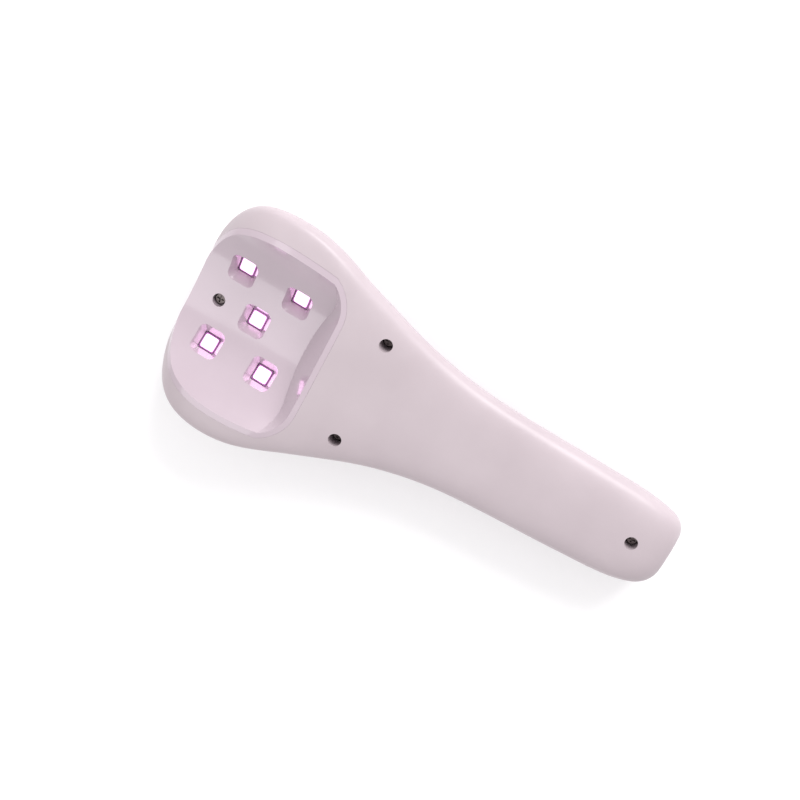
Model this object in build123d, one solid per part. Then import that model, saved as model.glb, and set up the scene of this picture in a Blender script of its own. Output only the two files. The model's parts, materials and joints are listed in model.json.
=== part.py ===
from build123d import *
import os
from math import asin, copysign, cos, degrees, pi, radians, sin, sqrt, tan

# A cordless handheld UV LED nail lamp: a wide paddle head with an arched, open-fronted dish of five
# LEDs, and a slim handle that holds the cell and the electronics. It is drawn lying on its back, dish
# up. X runs from the tip of the head (0) to the tail, Y across, Z up from the table; placed() then
# moves every piece so that the origin is under the middle of the lamp. Millimetres throughout.

# Overall form
LENGTH = 145.0
WALL = 1.6
SEAM_Z = 8.0
SEAM_GROOVE_DEPTH = 0.3
SEAM_GROOVE_HEIGHT = 0.4
LIP_HEIGHT = 1.2
LIP_THICKNESS = 0.75
LIP_CLEARANCE = 0.1
SECTION_POINTS = 28
FAR = 60.0
HAIR = 0.01

# Stations of the outer body: x, half width, underside z, waist z (the widest height), top z, and the
# powers of the upper and lower superellipse arcs (2 is an ellipse, more is boxier).
STATIONS = [
    (0.0, 16.0, 4.6, 10.0, 12.8, 2.4, 2.0),
    (1.0, 20.4, 3.4, 11.8, 14.8, 2.6, 2.0),
    (2.6, 24.2, 2.3, 13.4, 17.0, 2.8, 2.1),
    (5.2, 27.8, 1.1, 15.2, 19.4, 3.0, 2.1),
    (9.0, 30.4, 0.1, 17.2, 21.5, 3.1, 2.2),
    (14.0, 31.8, -0.4, 18.9, 23.1, 3.2, 2.2),
    (22.0, 32.2, -0.6, 20.0, 24.2, 3.3, 2.2),
    (30.0, 30.9, -0.6, 20.2, 24.5, 3.3, 2.2),
    (36.0, 28.8, -0.5, 19.9, 24.4, 3.3, 2.2),
    (42.0, 26.4, -0.2, 19.3, 23.8, 3.2, 2.1),
    (49.0, 23.8, 0.15, 18.3, 22.7, 3.1, 2.1),
    (57.0, 20.9, 0.5, 17.1, 21.5, 3.0, 2.0),
    (66.0, 18.1, 0.75, 16.2, 20.6, 2.9, 2.0),
    (75.0, 16.1, 0.85, 15.7, 20.1, 2.8, 2.0),
    (84.0, 14.8, 0.85, 15.5, 19.85, 2.8, 2.0),
    (94.0, 14.1, 0.75, 15.4, 19.75, 2.8, 2.0),
    (104.0, 13.7, 0.55, 15.3, 19.7, 2.8, 2.0),
    (114.0, 13.4, 0.25, 15.1, 19.6, 2.8, 2.0),
    (124.0, 13.0, -0.1, 14.9, 19.4, 2.8, 2.0),
    (133.0, 12.4, -0.4, 14.5, 19.05, 2.8, 2.0),
    (139.0, 11.3, 0.0, 13.7, 18.3, 2.7, 2.0),
    (142.4, 10.0, 0.9, 12.5, 17.2, 2.6, 2.0),
    (144.3, 8.2, 2.1, 11.3, 16.0, 2.5, 2.0),
    (LENGTH, 6.8, 3.2, 10.4, 15.0, 2.4, 2.0),
]

# Dish, drawn in its own frame: origin on the floor of the arch under the centre LED, X to the tail,
# Z out of the dish. The dish leans a few degrees to the tip so that the handle lies level.
DISH_X = 19.0
DISH_Z = 13.2
DISH_LEAN = 5.0
ARCH_RADIUS = 34.0
DISH_WALL = 1.4
DISH_GAP = 0.04
DISH_TOP = 20.0
DISH_BOTTOM = -3.0
RIM_Z = 9.0
RIM_END_X = 21.8
RIM_HALF_WIDTH = 24.4
RIM_CORNER = 10.5
RIM_FRONT_X = -60.0
TAIL_WALL_SLOPE = 34.0

# LEDs and their pockets
LED_X = 8.45
LED_Y = 11.15
POCKET_MOUTH = 7.8
POCKET_THROAT = 5.0
POCKET_DEPTH = 2.6
POCKET_WALL = 0.7
POCKET_CORNER = 0.5
POCKET_ABOVE = 1.5
LED_BODY = 4.6
LED_BODY_HEIGHT = 1.1
LED_LENS = 3.9
LED_LENS_HEIGHT = 0.45
LED_CORNER = 0.25
BOARD_DEPTH = 4.0
LED_BOARD_THICKNESS = 1.0
LED_BOARD_CORNER = 0.8
SIDE_BOARD_LENGTH = 27.0
SIDE_BOARD_WIDTH = 9.6
CENTRE_BOARD_WIDTH = 10.0
CENTRE_BOARD_FRONT = -5.6
CENTRE_BOARD_BACK = 11.6
CENTRE_BOARD_SCREW_X = 8.4
BOARD_BOSS_RADIUS = 2.0
BOARD_BOSS_ROOF = 1.5

# Case screws: one through the dish, two at the neck, one at the tail
TIP_SCREW_X = 7.8
NECK_SCREW_X = 53.4
NECK_SCREW_Y = 14.9
TAIL_SCREW_X = 134.5
SCREW_HEAD_RADIUS = 1.6
SCREW_HEAD_HEIGHT = 1.2
SCREW_SHANK_RADIUS = 0.95
SCREW_SHANK_LENGTH = 6.0
SCREW_RECESS_DEPTH = 0.7
SCREW_RECESS_LENGTH = 2.0
SCREW_RECESS_WIDTH = 0.5
SCREW_HEAD_EDGE = 0.35
SCREW_JOIN = 0.1
COUNTERBORE_RADIUS = 1.8
SHANK_HOLE_RADIUS = 1.05
BOSS_RADIUS = 3.0
BOSS_GAP = 0.1
SHELF_THICKNESS = 1.3
TIP_SHELF_Z = 9.3
NECK_SHELF_Z = 15.6
TAIL_SHELF_Z = 14.4
BOSS_FLOOR_Z = 2.6

# Board screws
BOARD_SCREW_HEAD_RADIUS = 1.5
BOARD_SCREW_HEAD_HEIGHT = 0.9
BOARD_SCREW_SHANK_RADIUS = 0.75
BOARD_SCREW_SHANK_LENGTH = 3.2
BOARD_SCREW_HOLE_RADIUS = 0.85
BOARD_SCREW_HOLE_DEPTH = 2.4

# Main board, in the neck
MAIN_BOARD_X = (45.0, 75.0)
MAIN_BOARD_HALF_WIDTH = 10.5
MAIN_BOARD_Z = 9.6
BOARD_THICKNESS = 1.2
BOARD_CORNER = 1.0
STANDOFF_RADIUS = 2.2
STANDOFF_X = 48.5
STANDOFF_REST_X = 72.0
STANDOFF_Y = 7.8

# Components on the main board: the middle of each in x, y, and its length, width and height
CELL_PLUG = (68.0, 0.0)
CELL_PLUG_SIZE = (5.0, 6.0, 3.8)
LED_PLUG = (49.0, 0.0)
LED_PLUG_SIZE = (5.0, 6.0, 3.8)
PLUG_LEAD_HEIGHT = 2.0
COMPONENT_CORNER = 0.2
COMPONENTS = {
    "cell_connector": (*CELL_PLUG, CELL_PLUG_SIZE),
    "led_connector": (*LED_PLUG, LED_PLUG_SIZE),
    "charge_controller": (59.5, -6.0, (5.0, 4.0, 1.5)),
    "led_driver": (59.5, 6.0, (5.0, 4.0, 1.5)),
    "power_inductor": (67.5, 6.8, (5.4, 5.4, 3.0)),
    "smoothing_capacitor": (67.5, -6.8, (3.2, 2.5, 1.8)),
}

# Power button, switch and indicator, on the back
BUTTON_X = 61.0
BUTTON_LENGTH = 13.0
BUTTON_WIDTH = 8.0
BUTTON_CLEARANCE = 0.15
BUTTON_FACE_Z = 0.35
BUTTON_FLANGE_Z = 3.05
BUTTON_FLANGE_WIDTH = 1.0
BUTTON_FLANGE_HEIGHT = 0.8
BUTTON_STEM_GAP = 0.02
BUTTON_STEM_RADIUS = 1.9
BUTTON_EDGE = 0.5
SWITCH_BODY = 6.0
SWITCH_BODY_HEIGHT = 3.4
SWITCH_PLUNGER_RADIUS = 1.7
SWITCH_PLUNGER_HEIGHT = 1.0
SWITCH_PLUNGER_SUNK = 0.25
SWITCH_WELL_RADIUS = 1.75
SWITCH_WELL_DEPTH = 0.6
INDICATOR_X = 71.5
INDICATOR_RADIUS = 1.2
INDICATOR_CLEARANCE = 0.1
INDICATOR_FLANGE_Z = 3.0
INDICATOR_FLANGE_RADIUS = 1.9
INDICATOR_FLANGE_HEIGHT = 0.8
INDICATOR_FACE_Z = 1.0
INDICATOR_TOP_Z = 8.6
INDICATOR_CHIP = (1.6, 0.8, 0.7)

# Cell, in the handle
CELL_X = (79.0, 127.6)
CELL_RADIUS = 6.9
SLEEVE_THICKNESS = 0.15
CELL_Z = 10.2
CELL_CAP_RADIUS = 2.6
CELL_CAP_HEIGHT = 1.2
TAB_WIDTH = 4.0
TAB_THICKNESS = 0.25
CRADLE_THICKNESS = 2.0
CRADLE_X = (86.0, 103.0, 120.0)
CRADLE_TOP_Z = 6.2
CRADLE_GAP = 0.05
CRADLE_HALF_WIDTH = 6.0
PAD_X = (92.0, 114.0)
PAD_HALF_WIDTH = 3.0
PAD_Z = (16.6, 17.8)

# Charging socket, at the tail
USB_LENGTH = 6.8
USB_WIDTH = 8.94
USB_HEIGHT = 3.26
USB_WALL = 0.3
USB_MOUTH_X = LENGTH - 0.4
USB_OPENING_GAP = 0.15
USB_TONGUE = (4.6, 6.7, 0.7)
USB_BACK = 1.0
USB_BOARD_X = (138.2, 142.4)
USB_BOARD_HALF_WIDTH = 4.8
USB_RIB_X = (138.8, 140.2)
USB_RIB_Y = (3.4, 5.0)
USB_BOARD_THICKNESS = 1.0

# Leads
LEAD_RADIUS = 0.5
LEAD_END_GAP = 0.18
LEAD_Y = 1.2
LINK_X = 2.0
LINK_NEAR_GAP = 0.1
LINK_FAR_GAP = 0.3

LED_SLOPE = degrees(asin(LED_Y / ARCH_RADIUS))
LED_Z = ARCH_RADIUS - sqrt(ARCH_RADIUS**2 - LED_Y**2)
DISH = Pos(DISH_X, 0, DISH_Z) * Rot(0, -DISH_LEAN, 0)


def side_frame(side, x=0.0):
    """A frame on the arch at one of the two side rows, Z out of the dish. side is 1 for +Y, -1 for -Y."""
    return DISH * Pos(x, side * LED_Y, LED_Z) * Rot(side * LED_SLOPE, 0, 0)


LED_FRAMES = {
    "centre": DISH,
    "front_left": side_frame(1, -LED_X),
    "back_left": side_frame(1, LED_X),
    "front_right": side_frame(-1, -LED_X),
    "back_right": side_frame(-1, LED_X),
}
CASE_SCREWS = [
    (TIP_SCREW_X, 0.0, TIP_SHELF_Z),
    (NECK_SCREW_X, NECK_SCREW_Y, NECK_SHELF_Z),
    (NECK_SCREW_X, -NECK_SCREW_Y, NECK_SHELF_Z),
    (TAIL_SCREW_X, 0.0, TAIL_SHELF_Z),
]


def placed(shape):
    """Moves a piece from the drawing frame to the lamp's frame."""
    return Pos(-LENGTH / 2, 0, 0) * shape


def box(x_range, y_range, z_range):
    """A box between two corners."""
    size = [high - low for low, high in (x_range, y_range, z_range)]
    return Pos(x_range[0], y_range[0], z_range[0]) * Box(*size, align=(Align.MIN, Align.MIN, Align.MIN))


def post(x, y, z_range, radius):
    """An upright cylinder between two heights."""
    height = z_range[1] - z_range[0]
    up = (Align.CENTER, Align.CENTER, Align.MIN)
    return Pos(x, y, z_range[0]) * Cylinder(radius, height, align=up)


def signed_power(value, power):
    """|value| to a power, with the sign of value."""
    return copysign(abs(value) ** power, value)


def section(station, inset):
    """One cross-section of the body, moved in by inset all round, as a closed face."""
    x, half, bottom, waist, top, upper_power, lower_power = station
    half -= inset
    rise = top - inset - waist
    drop = waist - bottom - inset
    points = []
    for i in range(SECTION_POINTS):
        turn = 2 * pi * i / SECTION_POINTS - pi / 2
        upper = sin(turn) >= 0
        power = 2 / (upper_power if upper else lower_power)
        height = rise if upper else drop
        y = half * signed_power(cos(turn), power)
        z = waist + height * signed_power(sin(turn), power)
        points.append((x + inset * (1 - 2 * x / LENGTH), y, z))
    return Face(Wire(Spline(points, periodic=True)))


def body_form(inset=0.0):
    """The outer body, or the body moved in by inset. Its underside is cut flat where it rests."""
    body = loft([section(station, inset) for station in STATIONS])
    return body & box([-1, LENGTH + 1], [-FAR, FAR], [inset, FAR])


def dish_form(grow=0.0):
    """The hollow of the dish, grown outwards: an arched trough, closed by a sloped wall at the tail."""
    spread = tan(radians(TAIL_WALL_SLOPE)) * (DISH_TOP - RIM_Z) + grow / cos(radians(TAIL_WALL_SLOPE))
    end = RIM_END_X + spread
    half = RIM_HALF_WIDTH + spread
    outline = RectangleRounded(end - RIM_FRONT_X, 2 * half, RIM_CORNER + spread)
    outline = Pos((end + RIM_FRONT_X) / 2, 0) * outline
    depth = DISH_TOP - DISH_BOTTOM
    prism = extrude(Pos(0, 0, DISH_TOP) * outline, amount=depth, dir=(0, 0, -1), taper=TAIL_WALL_SLOPE)
    arch = Pos(0, 0, ARCH_RADIUS) * Rot(0, 90, 0) * Cylinder(ARCH_RADIUS + grow, 4 * ARCH_RADIUS)
    return arch & prism


def frustum(top, bottom, depth, corner):
    """A square hollow whose mouth is at z = 0 and that narrows to its bottom at z = -depth."""
    slope = degrees(asin((top - bottom) / 2 / sqrt(((top - bottom) / 2) ** 2 + depth**2)))
    mouth = RectangleRounded(top, top, corner + (top - bottom) / 2)
    return extrude(mouth, amount=depth, dir=(0, 0, -1), taper=slope)


def pocket_hollow():
    """The tapered pocket of one LED, with a mouth carried up past the arch and a straight throat below."""
    mouth = POCKET_MOUTH + (POCKET_MOUTH - POCKET_THROAT) * POCKET_ABOVE / POCKET_DEPTH
    hollow = frustum(mouth, POCKET_THROAT, POCKET_DEPTH + POCKET_ABOVE, POCKET_CORNER)
    hollow = Pos(0, 0, POCKET_ABOVE) * hollow
    throat = box([-POCKET_THROAT / 2, POCKET_THROAT / 2], [-POCKET_THROAT / 2, POCKET_THROAT / 2],
                 [-BOARD_DEPTH - 1, -POCKET_DEPTH + HAIR])
    return hollow + throat


def pocket_cup():
    """The block of plastic behind the dish that one pocket is sunk in."""
    half = POCKET_MOUTH / 2 + POCKET_WALL
    return box([-half, half], [-half, half], [-BOARD_DEPTH, -0.2])


def board_screw_places():
    """Frames at the outer face of each screwed board: Z points from the board into its boss."""
    under_led_board = Pos(0, 0, -BOARD_DEPTH - LED_BOARD_THICKNESS)
    places = [side_frame(side) * under_led_board for side in (1, -1)]
    places.append(DISH * Pos(CENTRE_BOARD_SCREW_X, 0, 0) * under_led_board)
    over_main_board = MAIN_BOARD_Z + BOARD_THICKNESS
    places += [Pos(STANDOFF_X, side * STANDOFF_Y, over_main_board) * Rot(180, 0, 0) for side in (1, -1)]
    return places


def reflector_dish():
    """The glossy insert that carries the LED boards: arch, tail wall, LED cups and screw bosses."""
    shell = DISH * dish_form(DISH_WALL)
    under = Part()
    hollows = DISH * dish_form()
    for frame in LED_FRAMES.values():
        under += frame * pocket_cup()
        hollows += frame * pocket_hollow()
    boss = post(0, 0, [-BOARD_DEPTH, -0.3], BOARD_BOSS_RADIUS)
    pilot = post(0, 0, [-BOARD_DEPTH - 0.1, -BOARD_BOSS_ROOF], BOARD_SCREW_HOLE_RADIUS)
    pilots = Part()
    for frame in (side_frame(1), side_frame(-1), DISH * Pos(CENTRE_BOARD_SCREW_X, 0, 0)):
        under += frame * boss
        pilots += frame * pilot
    under += post(TIP_SCREW_X, 0, [TIP_SHELF_Z - SHELF_THICKNESS, DISH_Z - 1.2], BOSS_RADIUS)
    insert = (shell + under) & body_form()
    insert -= hollows
    insert -= pilots
    insert -= post(TIP_SCREW_X, 0, [TIP_SHELF_Z, DISH_TOP], COUNTERBORE_RADIUS)
    insert -= post(TIP_SCREW_X, 0, [0, TIP_SHELF_Z + 1], SHANK_HOLE_RADIUS)
    return insert


def wall_bosses():
    """The face shell's screw bosses: tubes that hang from the wall and carry the screw heads."""
    bosses = Part()
    for x, y, shelf in CASE_SCREWS[1:]:
        bosses += post(x, y, [shelf - SHELF_THICKNESS, FAR], BOSS_RADIUS)
    return bosses & body_form(WALL / 2)


def flat_ended(width, height):
    """The charging socket's outline: round sides that keep a hair of straight end between their arcs."""
    return RectangleRounded(width, height, height / 2 - HAIR)


def usb_envelope():
    """The space that the charging socket needs, through the tail wall and in front of it."""
    half_width = USB_WIDTH / 2 + USB_OPENING_GAP
    half_height = USB_HEIGHT / 2 + USB_OPENING_GAP
    opening = flat_ended(2 * half_width, 2 * half_height)
    start = USB_MOUTH_X - USB_LENGTH - USB_OPENING_GAP
    return Pos(start, 0, SEAM_Z) * extrude(Plane.YZ * opening, amount=LENGTH + 1 - start)


def level(low, high):
    """A slab wider than the lamp, between two heights."""
    return box([-1, LENGTH + 1], [-FAR, FAR], [low, high])


def case_shells():
    """The two halves of the case: the face shell over the seam and the back shell under it."""
    outer = body_form()
    cavity = body_form(WALL)
    half_groove = SEAM_GROOVE_HEIGHT / 2
    groove = level(SEAM_Z - half_groove, SEAM_Z + half_groove) - body_form(SEAM_GROOVE_DEPTH)
    lip = body_form(WALL - LIP_THICKNESS) & level(SEAM_Z - 1, SEAM_Z + LIP_HEIGHT)
    rebate_form = body_form(WALL - LIP_THICKNESS - LIP_CLEARANCE)
    rebate = rebate_form & level(SEAM_Z - 1, SEAM_Z + LIP_HEIGHT + LIP_CLEARANCE)
    socket_hole = usb_envelope()

    face = (outer & level(SEAM_Z, FAR)) - groove - rebate - cavity
    face += wall_bosses()
    face -= DISH * dish_form(DISH_WALL + DISH_GAP)
    face -= socket_hole
    for x, y, shelf in CASE_SCREWS[1:]:
        face -= post(x, y, [shelf, FAR], COUNTERBORE_RADIUS)
        face -= post(x, y, [0, shelf + 1], SHANK_HOLE_RADIUS)

    back = (outer & level(-1, SEAM_Z)) - groove + lip - cavity
    back += back_shell_supports() & body_form(WALL / 2)
    back -= socket_hole
    for x, y, shelf in CASE_SCREWS:
        back -= post(x, y, [BOSS_FLOOR_Z, FAR], SHANK_HOLE_RADIUS)
    for side in (1, -1):
        back -= post(STANDOFF_X, side * STANDOFF_Y, [MAIN_BOARD_Z - BOARD_SCREW_HOLE_DEPTH, FAR],
                     BOARD_SCREW_HOLE_RADIUS)
    back -= button_opening()
    back -= post(INDICATOR_X, 0, [-1, 3 * WALL], INDICATOR_RADIUS + INDICATOR_CLEARANCE)
    return face, back


def cell_space(clearance):
    """The cylinder taken up by the sleeved cell, with some room round it."""
    length = CELL_X[1] - CELL_X[0]
    radius = CELL_RADIUS + SLEEVE_THICKNESS + clearance
    along = (Align.CENTER, Align.CENTER, Align.MIN)
    return Pos(CELL_X[0], 0, CELL_Z) * Rot(0, 90, 0) * Cylinder(radius, length, align=along)


def back_shell_supports():
    """What stands on the back shell's floor: screw bosses, board posts, cell cradles, socket ribs."""
    supports = Part()
    for x, y, shelf in CASE_SCREWS:
        supports += post(x, y, [0, shelf - SHELF_THICKNESS - BOSS_GAP], BOSS_RADIUS)
    for x in (STANDOFF_X, STANDOFF_REST_X):
        for side in (1, -1):
            supports += post(x, side * STANDOFF_Y, [0, MAIN_BOARD_Z], STANDOFF_RADIUS)
    for x in CRADLE_X:
        half = CRADLE_THICKNESS / 2
        supports += box([x - half, x + half], [-CRADLE_HALF_WIDTH, CRADLE_HALF_WIDTH], [0, CRADLE_TOP_Z])
    supports -= cell_space(CRADLE_GAP)
    rib_top = SEAM_Z - USB_HEIGHT / 2 - USB_BOARD_THICKNESS
    for low, high in (USB_RIB_Y, (-USB_RIB_Y[1], -USB_RIB_Y[0])):
        supports += box(USB_RIB_X, [low, high], [0, rib_top])
    return supports


def button_opening():
    """The slot in the back shell that the power button slides in."""
    slot = SlotOverall(BUTTON_LENGTH + 2 * BUTTON_CLEARANCE, BUTTON_WIDTH + 2 * BUTTON_CLEARANCE)
    return Pos(BUTTON_X, 0, -1) * extrude(slot, amount=BUTTON_FLANGE_Z + 1)


def switch_face_z():
    """The height of the switch body's lower face."""
    return MAIN_BOARD_Z - SWITCH_BODY_HEIGHT


def power_button():
    """The slotted button cap with its flange inside the case and its stem up to the switch."""
    cap = extrude(SlotOverall(BUTTON_LENGTH, BUTTON_WIDTH), amount=BUTTON_FLANGE_Z - BUTTON_FACE_Z)
    cap = fillet(cap.faces().sort_by(Axis.Z)[0].edges(), BUTTON_EDGE)
    flange_slot = SlotOverall(BUTTON_LENGTH + 2 * BUTTON_FLANGE_WIDTH, BUTTON_WIDTH + 2 * BUTTON_FLANGE_WIDTH)
    flange = Pos(0, 0, BUTTON_FLANGE_Z) * extrude(flange_slot, amount=BUTTON_FLANGE_HEIGHT)
    top = switch_face_z() - SWITCH_PLUNGER_HEIGHT - BUTTON_STEM_GAP
    stem = post(0, 0, [BUTTON_FLANGE_Z, top], BUTTON_STEM_RADIUS)
    return Pos(BUTTON_X, 0, 0) * (Pos(0, 0, BUTTON_FACE_Z) * cap + flange + stem)


def switch_body():
    """The tactile switch under the main board, with the well that its plunger sinks into."""
    half = SWITCH_BODY / 2
    face = switch_face_z()
    body = box([BUTTON_X - half, BUTTON_X + half], [-half, half], [face, MAIN_BOARD_Z])
    body = fillet(body.edges().filter_by(Axis.Z), 0.3)
    return body - post(BUTTON_X, 0, [face - 1, face + SWITCH_WELL_DEPTH], SWITCH_WELL_RADIUS)


def switch_plunger():
    """The round plunger that the button's stem pushes."""
    face = switch_face_z()
    z_range = [face - SWITCH_PLUNGER_HEIGHT, face + SWITCH_PLUNGER_SUNK]
    return post(BUTTON_X, 0, z_range, SWITCH_PLUNGER_RADIUS)


def indicator_lens():
    """The light pipe from the indicator on the main board to the back of the case."""
    flange_top = INDICATOR_FLANGE_Z + INDICATOR_FLANGE_HEIGHT
    pipe = post(INDICATOR_X, 0, [INDICATOR_FACE_Z, INDICATOR_TOP_Z], INDICATOR_RADIUS)
    return pipe + post(INDICATOR_X, 0, [INDICATOR_FLANGE_Z, flange_top], INDICATOR_FLANGE_RADIUS)


def on_board(x, y, size):
    """A component on the upper face of the main board, centred at x, y."""
    z = MAIN_BOARD_Z + BOARD_THICKNESS
    length, width, height = size
    body = box([x - length / 2, x + length / 2], [y - width / 2, y + width / 2], [z, z + height])
    return fillet(body.edges().filter_by(Axis.Z), COMPONENT_CORNER)


def indicator_chip():
    """The small LED under the main board that lights the indicator lens."""
    length, width, height = INDICATOR_CHIP
    return box([INDICATOR_X - length / 2, INDICATOR_X + length / 2], [-width / 2, width / 2],
               [MAIN_BOARD_Z - height, MAIN_BOARD_Z])


def main_board():
    """The control board in the neck, with its two screw holes."""
    board = box(MAIN_BOARD_X, [-MAIN_BOARD_HALF_WIDTH, MAIN_BOARD_HALF_WIDTH],
                [MAIN_BOARD_Z, MAIN_BOARD_Z + BOARD_THICKNESS])
    board = fillet(board.edges().filter_by(Axis.Z), BOARD_CORNER)
    for side in (1, -1):
        board -= post(STANDOFF_X, side * STANDOFF_Y, [0, FAR], BOARD_SCREW_HOLE_RADIUS)
    return board


def case_screws():
    """The four identical case screws, heads up, each with a cross recess."""
    head = post(0, 0, [0, SCREW_HEAD_HEIGHT], SCREW_HEAD_RADIUS)
    head = fillet(head.faces().sort_by(Axis.Z)[-1].edges(), SCREW_HEAD_EDGE)
    screw = head + post(0, 0, [-SCREW_SHANK_LENGTH, SCREW_JOIN], SCREW_SHANK_RADIUS)
    for turn in (0, 90):
        blade = Box(SCREW_RECESS_LENGTH, SCREW_RECESS_WIDTH, 2 * SCREW_RECESS_DEPTH)
        screw -= Pos(0, 0, SCREW_HEAD_HEIGHT) * Rot(0, 0, turn) * blade
    return Compound([Pos(x, y, shelf) * screw for x, y, shelf in CASE_SCREWS])


def board_screws():
    """The five identical board screws: three hold the LED boards, two hold the main board."""
    head = post(0, 0, [-BOARD_SCREW_HEAD_HEIGHT, 0], BOARD_SCREW_HEAD_RADIUS)
    screw = head + post(0, 0, [-SCREW_JOIN, BOARD_SCREW_SHANK_LENGTH], BOARD_SCREW_SHANK_RADIUS)
    return Compound([frame * screw for frame in board_screw_places()])


def led_board(frame, x_range, width, screw_x):
    """One metal-cored LED board under the dish."""
    z_range = [-BOARD_DEPTH - LED_BOARD_THICKNESS, -BOARD_DEPTH]
    board = box(x_range, [-width / 2, width / 2], z_range)
    board = fillet(board.edges().filter_by(Axis.Z), LED_BOARD_CORNER)
    return frame * (board - post(screw_x, 0, [-2 * BOARD_DEPTH, 0], BOARD_SCREW_HOLE_RADIUS))


def led_package():
    """The dark body of one UV LED, on its board."""
    half = LED_BODY / 2
    top = -BOARD_DEPTH + LED_BODY_HEIGHT
    return box([-half, half], [-half, half], [-BOARD_DEPTH, top])


def led_lens():
    """The clear square lens on one UV LED."""
    half = LED_LENS / 2
    bottom = -BOARD_DEPTH + LED_BODY_HEIGHT
    lens = box([-half, half], [-half, half], [bottom, bottom + LED_LENS_HEIGHT])
    lens = fillet(lens.edges().filter_by(Axis.Z), LED_CORNER)
    return chamfer(lens.faces().sort_by(Axis.Z)[-1].edges(), LED_LENS_HEIGHT / 2)


def cell_parts():
    """The cell's can, its sleeve, its end cap and the two welded tabs."""
    start, end = CELL_X
    along = (Align.CENTER, Align.CENTER, Align.MIN)
    can = Pos(start, 0, CELL_Z) * Rot(0, 90, 0) * Cylinder(CELL_RADIUS, end - start, align=along)
    cap = Pos(end, 0, CELL_Z) * Rot(0, 90, 0) * Cylinder(CELL_CAP_RADIUS, CELL_CAP_HEIGHT, align=along)
    half = TAB_WIDTH / 2
    tabs = [
        box([start - TAB_THICKNESS, start], [-half, half], [CELL_Z - half, CELL_Z + half + 2]),
        box([end + CELL_CAP_HEIGHT, end + CELL_CAP_HEIGHT + TAB_THICKNESS], [-half, half],
            [CELL_Z - half, CELL_Z + half + 1]),
    ]
    return {
        "cell_can": can,
        "cell_sleeve": cell_space(0) - can,
        "cell_cap": cap,
        "cell_tabs": Compound(tabs),
    }


def foam_pad():
    """The foam strip between the cell and the face shell."""
    pad = box(PAD_X, [-PAD_HALF_WIDTH, PAD_HALF_WIDTH], PAD_Z)
    return pad - cell_space(CRADLE_GAP)


def usb_socket():
    """The charging socket: a flat steel tube, closed at the back, and the tongue inside it."""
    outline = flat_ended(USB_WIDTH, USB_HEIGHT)
    inner = flat_ended(USB_WIDTH - 2 * USB_WALL, USB_HEIGHT - 2 * USB_WALL)
    tube = extrude(Plane.YZ * outline, amount=USB_LENGTH)
    tube -= Pos(USB_BACK, 0, 0) * extrude(Plane.YZ * inner, amount=USB_LENGTH)
    length, width, height = USB_TONGUE
    tongue = box([USB_BACK, USB_BACK + length], [-width / 2, width / 2], [-height / 2, height / 2])
    rear = Pos(USB_MOUTH_X - USB_LENGTH, 0, SEAM_Z)
    return rear * tube, rear * tongue


def usb_board():
    """The small board under the charging socket."""
    top = SEAM_Z - USB_HEIGHT / 2
    return box(USB_BOARD_X, [-USB_BOARD_HALF_WIDTH, USB_BOARD_HALF_WIDTH], [top - USB_BOARD_THICKNESS, top])


def lead(points, radii=()):
    """An insulated wire along straight runs joined by arcs."""
    path = FilletPolyline(*points, radius=list(radii)) if radii else Line(*points)
    start = Plane(origin=path @ 0, z_dir=path % 0)
    return sweep(start * Circle(LEAD_RADIUS), path=path)


def leads():
    """The insulated wires between the boards and the cell."""
    board_rear = MAIN_BOARD_X[1] + 2 * LEAD_END_GAP
    usb_front = USB_BOARD_X[0] - 2 * LEAD_END_GAP
    board_mid = MAIN_BOARD_Z + BOARD_THICKNESS / 2
    usb_mid = SEAM_Z - USB_HEIGHT / 2 - USB_BOARD_THICKNESS / 2
    cell_plug_x = CELL_PLUG[0] + CELL_PLUG_SIZE[0] / 2
    led_plug_x = LED_PLUG[0] - LED_PLUG_SIZE[0] / 2 - LEAD_END_GAP
    plug_z = MAIN_BOARD_Z + BOARD_THICKNESS + PLUG_LEAD_HEIGHT
    can_tab = CELL_X[0] - TAB_THICKNESS
    cap_face = CELL_X[1] + CELL_CAP_HEIGHT + TAB_THICKNESS
    board_end = DISH * Pos(CENTRE_BOARD_BACK, 0, -BOARD_DEPTH - LED_BOARD_THICKNESS / 2)
    end_x, end_z = board_end.position.X + LEAD_END_GAP, board_end.position.Z
    routes = {
        "cell_lead_red": (
            [(cap_face, 1.0, 11.4), (130.6, 1.0, 11.4), (130.6, 8.6, 11.6), (78.4, 8.6, plug_z),
             (74.6, LEAD_Y, plug_z), (cell_plug_x, LEAD_Y, plug_z)], [0.9, 1.2, 1.5, 2.5]),
        "cell_lead_black": ([(can_tab, -LEAD_Y, plug_z), (cell_plug_x, -LEAD_Y, plug_z)], []),
        "usb_lead_red": (
            [(usb_front, -4.4, usb_mid), (133.0, -7.9, 7.5), (81.0, -8.7, 8.6),
             (board_rear, -8.9, board_mid)], [6.0, 8.0]),
        "usb_lead_black": (
            [(usb_front, -2.8, usb_mid), (133.6, -6.4, 5.9), (81.0, -7.4, 5.9),
             (board_rear, -7.2, board_mid)], [5.0, 5.0]),
    }
    for name, y in (("led_lead_red", LEAD_Y), ("led_lead_black", -LEAD_Y)):
        route = [(led_plug_x, y, plug_z), (41.5, y, plug_z - 1.2), (36.0, y, end_z + 0.1), (end_x, y, end_z)]
        routes[name] = (route, [6.0, 6.0])
    return {name: lead(*route) for name, route in routes.items()}


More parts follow.
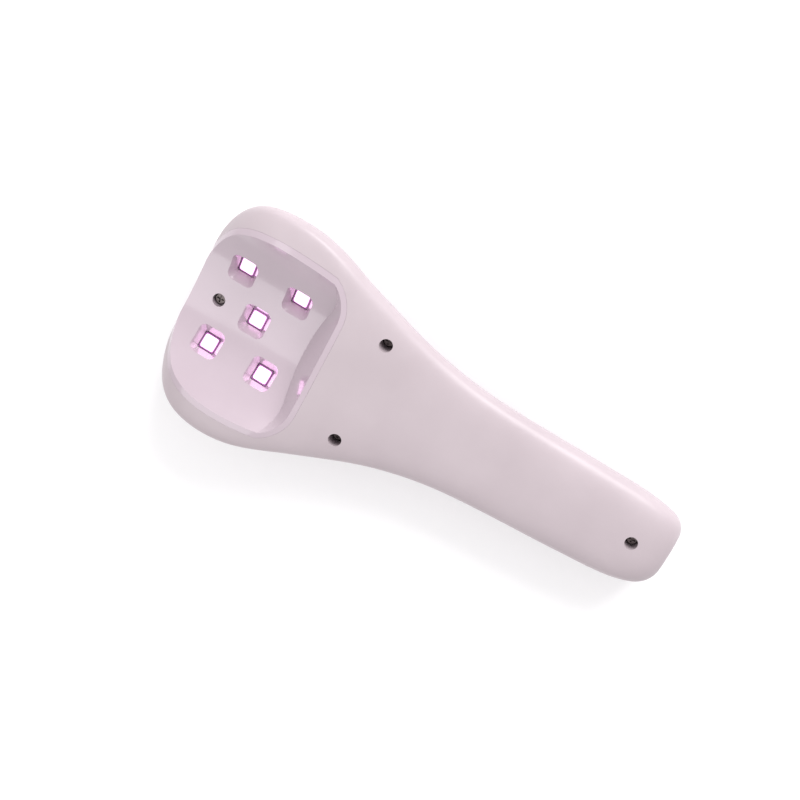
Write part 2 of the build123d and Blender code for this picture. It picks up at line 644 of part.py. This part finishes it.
def board_links():
    """Four short wires that join the side LED boards to the centre one."""
    links = []
    mid_depth = -BOARD_DEPTH - LED_BOARD_THICKNESS / 2
    for side in (1, -1):
        inner_edge = side_frame(side) * Pos(0, -side * SIDE_BOARD_WIDTH / 2, mid_depth)
        for x in (-LINK_X, LINK_X):
            near = (DISH * Pos(x, side * (CENTRE_BOARD_WIDTH / 2 + LINK_NEAR_GAP), mid_depth)).position
            far = (DISH * Pos(x, 0, 0)).position + inner_edge.position - DISH.position
            far = far + (near - far).normalized() * LINK_FAR_GAP
            links.append(lead([near, far]))
    return Compound(links)


def all_parts():
    """Every sub-part of the lamp by name, in the drawing frame."""
    face, back = case_shells()
    shell, tongue = usb_socket()
    side_range = [-SIDE_BOARD_LENGTH / 2, SIDE_BOARD_LENGTH / 2]
    centre_range = [CENTRE_BOARD_FRONT, CENTRE_BOARD_BACK]
    parts = {
        "face_shell": face,
        "back_shell": back,
        "reflector_dish": reflector_dish(),
        "case_screws": case_screws(),
        "board_screws": board_screws(),
        "led_board_left": led_board(side_frame(1), side_range, SIDE_BOARD_WIDTH, 0),
        "led_board_right": led_board(side_frame(-1), side_range, SIDE_BOARD_WIDTH, 0),
        "led_board_centre": led_board(DISH, centre_range, CENTRE_BOARD_WIDTH, CENTRE_BOARD_SCREW_X),
        "led_board_links": board_links(),
        "main_board": main_board(),
        "power_button": power_button(),
        "switch_body": switch_body(),
        "switch_plunger": switch_plunger(),
        "indicator_lens": indicator_lens(),
        "indicator_chip": indicator_chip(),
        "cell_foam_pad": foam_pad(),
        "usb_socket_shell": shell,
        "usb_socket_tongue": tongue,
        "usb_board": usb_board(),
    }
    for name, frame in LED_FRAMES.items():
        parts[f"led_{name}_package"] = frame * led_package()
        parts[f"led_{name}_lens"] = frame * led_lens()
    for name, (x, y, size) in COMPONENTS.items():
        parts[name] = on_board(x, y, size)
    parts.update(cell_parts())
    parts.update(leads())
    return parts


def main():
    os.makedirs("parts", exist_ok=True)
    for name, shape in all_parts().items():
        export_step(placed(shape), f"parts/{name}.step")


main()
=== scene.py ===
import json
from math import copysign, cos, pi, radians, sin

import bmesh
import bpy
from mathutils import Matrix, Vector


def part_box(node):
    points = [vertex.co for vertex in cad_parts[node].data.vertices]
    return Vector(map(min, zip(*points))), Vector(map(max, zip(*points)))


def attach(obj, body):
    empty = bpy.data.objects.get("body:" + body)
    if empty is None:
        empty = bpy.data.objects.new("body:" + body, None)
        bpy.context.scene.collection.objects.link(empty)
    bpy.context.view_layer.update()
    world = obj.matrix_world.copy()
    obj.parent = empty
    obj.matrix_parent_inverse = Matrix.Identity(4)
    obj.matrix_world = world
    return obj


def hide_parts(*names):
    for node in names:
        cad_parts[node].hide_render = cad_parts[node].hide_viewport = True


# The looks of a cordless handheld UV LED nail lamp, lying on its back with the dish of LEDs up.
# Metres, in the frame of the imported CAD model: X to the tail, +Y across, Z up from the table.

MM = 0.001

# Camera
VIEW_TARGET = Vector((-9.4, 0.5, 11.7)) * MM
VIEW_FROM = Vector((0.030, 0.327, 0.944))
VIEW_UP = Vector((-0.493, 0.827, -0.270))
VIEW_DISTANCE = 488.7 * MM
LENS_MM = 82.5
SENSOR_MM = 36.0
NEAREST_SEEN = 10 * MM

# Light
KEY_FROM = Vector((0.10, 0.88, 0.46))
KEY_DISTANCE = 0.9
KEY_SIZE = 0.55
KEY_POWER = 9.0
FILL_FROM = Vector((-0.4, -0.5, 0.85))
FILL_DISTANCE = 1.1
FILL_SIZE = 0.9
FILL_POWER = 4.0
SKY_STRENGTH = 0.85
FLOOR_SIZE = 3.0
LED_GLOW = 2.2
LED_COLOUR = (1.0, 0.38, 0.88)

# LED lenses: low square cushions, flat underneath and crowned on top, turned as each LED is in the dish
LENS_HALF = 1.93 * MM
LENS_HEIGHT = 0.45 * MM
LENS_WALL_SHARE = 0.4
LENS_SQUARENESS = 9.0
LENS_POINTS = 64
LENS_RINGS = 10
DISH_LEAN = radians(5.0)
LED_SLOPE = radians(19.15)
LED_SIDES = {"centre": 0, "front_left": 1, "back_left": 1, "front_right": -1, "back_right": -1}

# Noise, in cells per metre, and how far it moves colour and roughness
NOISE_DETAIL = 4.0
GRAIN_DETAIL = 2.0
COLOUR_RAMP = (0.3, 0.7)
PLASTIC_COLOUR_NOISE = 55.0
PLASTIC_GLOSS_NOISE = 120.0
PLASTIC_GLOSS_RANGE = (0.85, 1.15)
PLASTIC_GRAIN_NOISE = 2600.0
COAT_ROUGHNESS = 0.06
METAL_COLOUR_NOISE = 300.0
METAL_GLOSS_NOISE = 500.0
METAL_GLOSS_RANGE = (0.8, 1.25)
METAL_GRAIN_NOISE = 6000.0
METAL_GRAIN_DEPTH = 4e-6

# The lit lenses and the table
LENS_COLOURS = ((0.82, 0.74, 0.9), (0.95, 0.9, 1.0))
LENS_COLOUR_NOISE = 900.0
LENS_ROUGHNESS = (0.08, 0.2)
LENS_GLOSS_NOISE = 700.0
FLOOR_COLOURS = ((0.90, 0.89, 0.90), (0.92, 0.91, 0.92))
FLOOR_COLOUR_NOISE = 8.0
FLOOR_ROUGHNESS = 0.8

# Plastics by slot: darkest and lightest colour, roughness, grain depth in metres, and any clear coat
PLASTICS = {
    # shell: pale pink-white plastic, given a darker mauve-grey colour as painted shade on the face
    # turned from the lights
    "shell_plastic": ((0.405, 0.342, 0.368), (0.435, 0.370, 0.397), 0.42, 6e-6),
    # dish: glossy pale plastic, given a darker mauve-grey colour as painted shade, like the shell
    "dish_plastic": ((0.415, 0.338, 0.383), (0.440, 0.362, 0.408), 0.16, 2e-6, 0.6),
    "button_plastic": ((0.34, 0.27, 0.30), (0.37, 0.30, 0.33), 0.3, 5e-6),
    "led_package": ((0.28, 0.09, 0.27), (0.34, 0.12, 0.33), 0.3, 3e-6),
    "component_black": ((0.012, 0.012, 0.013), (0.025, 0.025, 0.027), 0.5, 8e-6),
    "plunger_plastic": ((0.02, 0.02, 0.02), (0.04, 0.04, 0.04), 0.45, 5e-6),
    "socket_tongue": ((0.012, 0.012, 0.013), (0.03, 0.03, 0.03), 0.45, 5e-6),
    "indicator_clear": ((0.70, 0.67, 0.69), (0.78, 0.75, 0.77), 0.4, 8e-6),
    "indicator_chip": ((0.65, 0.62, 0.38), (0.80, 0.78, 0.5), 0.2, 2e-6),
    "connector_white": ((0.68, 0.66, 0.6), (0.76, 0.74, 0.69), 0.45, 6e-6),
    "lead_white": ((0.68, 0.68, 0.67), (0.77, 0.77, 0.76), 0.4, 4e-6),
    "lead_red": ((0.42, 0.012, 0.012), (0.52, 0.025, 0.02), 0.4, 4e-6),
    "lead_black": ((0.010, 0.010, 0.010), (0.02, 0.02, 0.02), 0.4, 4e-6),
    "board_green": ((0.02, 0.13, 0.05), (0.035, 0.18, 0.08), 0.28, 6e-6, 0.3),
    "cell_wrap": ((0.04, 0.14, 0.38), (0.06, 0.18, 0.45), 0.25, 8e-6, 0.2),
    "foam": ((0.02, 0.02, 0.024), (0.045, 0.045, 0.05), 0.9, 6e-5),
    "inductor_grey": ((0.08, 0.08, 0.09), (0.14, 0.14, 0.15), 0.6, 1e-5),
    "capacitor_tan": ((0.38, 0.25, 0.13), (0.48, 0.33, 0.19), 0.4, 4e-6),
    "led_board_white": ((0.74, 0.74, 0.73), (0.82, 0.82, 0.81), 0.35, 4e-6),
}

# Metals by slot: darkest and lightest colour, and roughness
METALS = {
    "screw_steel": ((0.12, 0.10, 0.10), (0.2, 0.17, 0.17), 0.38),
    "board_screw_steel": ((0.45, 0.45, 0.45), (0.56, 0.56, 0.56), 0.35),
    "socket_steel": ((0.5, 0.5, 0.51), (0.62, 0.62, 0.63), 0.25),
    "cell_steel": ((0.46, 0.46, 0.47), (0.57, 0.57, 0.58), 0.3),
    "nickel": ((0.5, 0.48, 0.44), (0.6, 0.58, 0.54), 0.3),
}


def new_material(name):
    """A node material: returns it with its Principled shader."""
    material = bpy.data.materials.new(name)
    material.use_nodes = True
    return material, material.node_tree.nodes["Principled BSDF"]


def noise(material, scale, detail=NOISE_DETAIL):
    """A noise texture in the object's own coordinates, scale in cells per metre."""
    nodes = material.node_tree.nodes
    links = material.node_tree.links
    place = nodes.new("ShaderNodeTexCoord")
    texture = nodes.new("ShaderNodeTexNoise")
    texture.inputs["Scale"].default_value = scale
    texture.inputs["Detail"].default_value = detail
    links.new(place.outputs["Object"], texture.inputs["Vector"])
    return texture


def vary_colour(material, shader, low, high, scale):
    """Base colour drifting gently between two near colours."""
    texture = noise(material, scale)
    ramp = material.node_tree.nodes.new("ShaderNodeValToRGB")
    ramp.color_ramp.elements[0].position = COLOUR_RAMP[0]
    ramp.color_ramp.elements[0].color = (*low, 1)
    ramp.color_ramp.elements[1].position = COLOUR_RAMP[1]
    ramp.color_ramp.elements[1].color = (*high, 1)
    links = material.node_tree.links
    links.new(texture.outputs["Fac"], ramp.inputs["Fac"])
    links.new(ramp.outputs["Color"], shader.inputs["Base Color"])


def vary_roughness(material, shader, low, high, scale):
    """Roughness drifting between two values, as handling leaves it."""
    texture = noise(material, scale)
    span = material.node_tree.nodes.new("ShaderNodeMapRange")
    span.inputs["To Min"].default_value = low
    span.inputs["To Max"].default_value = high
    links = material.node_tree.links
    links.new(texture.outputs["Fac"], span.inputs["Value"])
    links.new(span.outputs["Result"], shader.inputs["Roughness"])


def grain(material, shader, scale, depth):
    """A fine moulded or brushed grain, depth in metres."""
    texture = noise(material, scale, GRAIN_DETAIL)
    bump = material.node_tree.nodes.new("ShaderNodeBump")
    bump.inputs["Distance"].default_value = depth
    links = material.node_tree.links
    links.new(texture.outputs["Fac"], bump.inputs["Height"])
    links.new(bump.outputs["Normal"], shader.inputs["Normal"])


def plastic(name, low, high, roughness, grain_depth, coat=0.0):
    """Moulded plastic: nearly even colour, a little uneven gloss and a fine grain."""
    material, shader = new_material(name)
    least, most = PLASTIC_GLOSS_RANGE
    vary_colour(material, shader, low, high, PLASTIC_COLOUR_NOISE)
    vary_roughness(material, shader, roughness * least, roughness * most, PLASTIC_GLOSS_NOISE)
    grain(material, shader, PLASTIC_GRAIN_NOISE, grain_depth)
    shader.inputs["Coat Weight"].default_value = coat
    shader.inputs["Coat Roughness"].default_value = COAT_ROUGHNESS
    return material


def metal(name, low, high, roughness):
    """Plated or blackened metal with fine brushing."""
    material, shader = new_material(name)
    least, most = METAL_GLOSS_RANGE
    vary_colour(material, shader, low, high, METAL_COLOUR_NOISE)
    vary_roughness(material, shader, roughness * least, roughness * most, METAL_GLOSS_NOISE)
    grain(material, shader, METAL_GRAIN_NOISE, METAL_GRAIN_DEPTH)
    shader.inputs["Metallic"].default_value = 1.0
    return material


def glowing_lens():
    """The lit clear lens of an LED: an even glow over slightly uneven colour and gloss."""
    material, shader = new_material("led_lens")
    vary_colour(material, shader, *LENS_COLOURS, LENS_COLOUR_NOISE)
    vary_roughness(material, shader, *LENS_ROUGHNESS, LENS_GLOSS_NOISE)
    shader.inputs["Emission Color"].default_value = (*LED_COLOUR, 1)
    shader.inputs["Emission Strength"].default_value = LED_GLOW
    return material


def all_materials():
    """Every material by the record's slot name."""
    materials = {name: plastic(name, *values) for name, values in PLASTICS.items()}
    materials.update({name: metal(name, *values) for name, values in METALS.items()})
    materials["led_lens"] = glowing_lens()
    return materials


def dress_nodes(frame, materials):
    """Gives every CAD node the material of its slot in the record."""
    for subpart in frame["record"]["subparts"]:
        node = frame["nodes"][subpart["node"]]
        material = materials[subpart["material_slot"]]
        if not node.material_slots:
            node.data.materials.append(material)
        for place in node.material_slots:
            place.material = material


def lens_ring(mesh, share, z):
    """One ring of a lens: a rounded square, share of the full size, at height z."""
    ring = []
    for step in range(LENS_POINTS):
        turn = 2 * pi * step / LENS_POINTS
        x = copysign(abs(cos(turn)) ** (2 / LENS_SQUARENESS), cos(turn))
        y = copysign(abs(sin(turn)) ** (2 / LENS_SQUARENESS), sin(turn))
        ring.append(mesh.verts.new((share * LENS_HALF * x, share * LENS_HALF * y, z)))
    return ring


def lens_mesh():
    """A closed square cushion centred on its own middle: flat underneath and crowned on top."""
    mesh = bmesh.new()
    low = -LENS_HEIGHT / 2
    crown = LENS_HEIGHT * (1 - LENS_WALL_SHARE)
    rings = [lens_ring(mesh, 1.0, low)]
    for level in range(LENS_RINGS):
        share = 1 - level / LENS_RINGS
        rings.append(lens_ring(mesh, share, low + LENS_HEIGHT - crown * share**4))
    for lower, upper in zip(rings, rings[1:]):
        for step in range(LENS_POINTS):
            after = (step + 1) % LENS_POINTS
            mesh.faces.new((lower[step], lower[after], upper[after], upper[step]))
    mesh.faces.new(rings[0][::-1])
    mesh.faces.new(rings[-1])
    data = bpy.data.meshes.new("led_lens")
    mesh.to_mesh(data)
    mesh.free()
    return data


def add_lenses(material):
    """A crowned lens in place of each CAD lens, square to its own LED."""
    for place, side in LED_SIDES.items():
        node = f"led_{place}_lens"
        low, high = (Vector(corner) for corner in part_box(node))
        lens = bpy.data.objects.new(f"led_{place}_crown", lens_mesh())
        bpy.context.scene.collection.objects.link(lens)
        turn = Matrix.Rotation(-DISH_LEAN, 4, "Y") @ Matrix.Rotation(side * LED_SLOPE, 4, "X")
        lens.matrix_world = Matrix.Translation((low + high) / 2) @ turn
        lens.data.materials.append(material)
        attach(lens, "housing")
        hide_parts(node)


def aim(thing, target, direction, up, distance):
    """Puts a camera or light at a distance from target, looking back at it."""
    back = direction.normalized()
    right = up.cross(back).normalized()
    turn = Matrix((right, back.cross(right), back)).transposed().to_4x4()
    thing.matrix_world = Matrix.Translation(target + back * distance) @ turn


def add_camera():
    """The camera at the photograph's viewing angle."""
    data = bpy.data.cameras.new("camera")
    data.lens = LENS_MM
    data.sensor_width = SENSOR_MM
    data.clip_start = NEAREST_SEEN
    camera = bpy.data.objects.new("camera", data)
    bpy.context.scene.collection.objects.link(camera)
    aim(camera, VIEW_TARGET, VIEW_FROM, VIEW_UP, VIEW_DISTANCE)
    bpy.context.scene.camera = camera


def add_softbox(name, direction, distance, size, power):
    """A square area light aimed at the lamp."""
    data = bpy.data.lights.new(name, "AREA")
    data.size = size
    data.energy = power
    light = bpy.data.objects.new(name, data)
    bpy.context.scene.collection.objects.link(light)
    aim(light, Vector((0, 0, 0)), direction, Vector((0, 0, 1)), distance)


def add_sky():
    """Even white light from all round."""
    world = bpy.data.worlds.new("sky")
    world.use_nodes = True
    background = world.node_tree.nodes["Background"]
    background.inputs["Color"].default_value = (1, 1, 1, 1)
    background.inputs["Strength"].default_value = SKY_STRENGTH
    bpy.context.scene.world = world


def add_floor():
    """The plain pale table."""
    half = FLOOR_SIZE / 2
    mesh = bpy.data.meshes.new("floor")
    corners = [(-half, -half, 0), (half, -half, 0), (half, half, 0), (-half, half, 0)]
    mesh.from_pydata(corners, [], [(0, 1, 2, 3)])
    floor = bpy.data.objects.new("floor", mesh)
    bpy.context.scene.collection.objects.link(floor)
    material, shader = new_material("floor")
    vary_colour(material, shader, *FLOOR_COLOURS, FLOOR_COLOUR_NOISE)
    shader.inputs["Roughness"].default_value = FLOOR_ROUGHNESS
    mesh.materials.append(material)


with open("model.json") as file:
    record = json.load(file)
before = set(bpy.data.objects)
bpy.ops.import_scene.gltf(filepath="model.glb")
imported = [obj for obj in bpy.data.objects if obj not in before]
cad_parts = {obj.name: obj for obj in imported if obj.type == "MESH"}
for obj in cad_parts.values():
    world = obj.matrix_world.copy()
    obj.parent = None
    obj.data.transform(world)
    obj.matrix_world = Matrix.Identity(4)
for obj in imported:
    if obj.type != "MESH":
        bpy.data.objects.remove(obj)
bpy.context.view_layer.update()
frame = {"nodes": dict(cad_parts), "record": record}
materials = all_materials()
dress_nodes(frame, materials)
add_lenses(materials["led_lens"])
add_sky()
add_softbox("key", KEY_FROM, KEY_DISTANCE, KEY_SIZE, KEY_POWER)
add_softbox("fill", FILL_FROM, FILL_DISTANCE, FILL_SIZE, FILL_POWER)
add_floor()
add_camera()
bpy.context.scene.view_settings.view_transform = "Standard"
